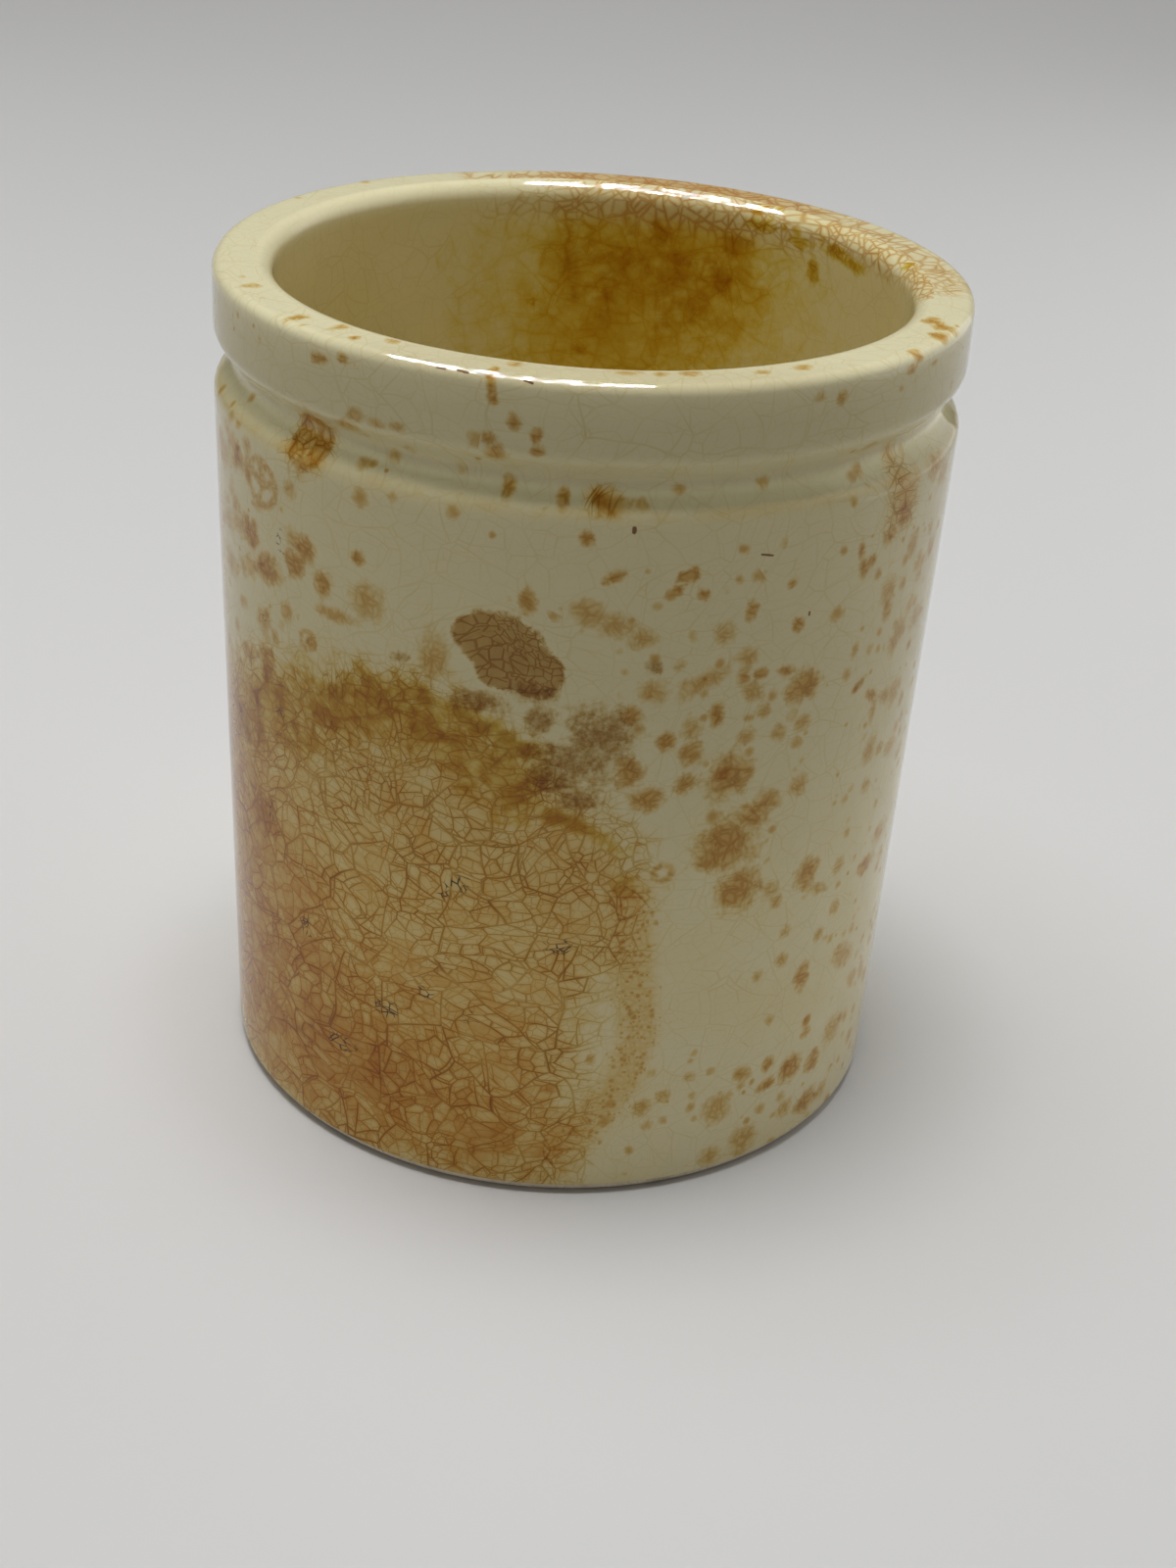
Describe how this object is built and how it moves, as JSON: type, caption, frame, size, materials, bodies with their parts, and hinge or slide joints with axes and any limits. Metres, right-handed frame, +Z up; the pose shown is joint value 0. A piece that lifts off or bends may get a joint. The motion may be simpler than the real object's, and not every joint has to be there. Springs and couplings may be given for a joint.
{
  "type": "glazed ceramic pot",
  "caption": "Small straight-sided cream-glazed ceramic pot with a collar rim and a tie groove below it, open at the top, standing on a bare clay foot ring.",
  "frame": {"origin": "middle of the foot, on the surface that the pot stands on", "axes": "+Z up along the turning axis, from the foot to the rim; the pictured side faces -Y"},
  "size_m": [0.06, 0.06, 0.07],
  "materials": {
    "fired_clay": "bare fired clay, matt and slightly porous",
    "outer_glaze": "glossy cream glaze, crazed, with brown stains along the cracks",
    "inner_glaze": "glossy yellowish cream glaze, crazed and stained",
    "underside_glaze": "thin cream glaze with a wiped edge"
  },
  "bodies": {
    "root": {"clay_body": "fired_clay", "outer_glaze": "outer_glaze", "inner_glaze": "inner_glaze", "underside_glaze": "underside_glaze"}
  },
  "joints": []
}
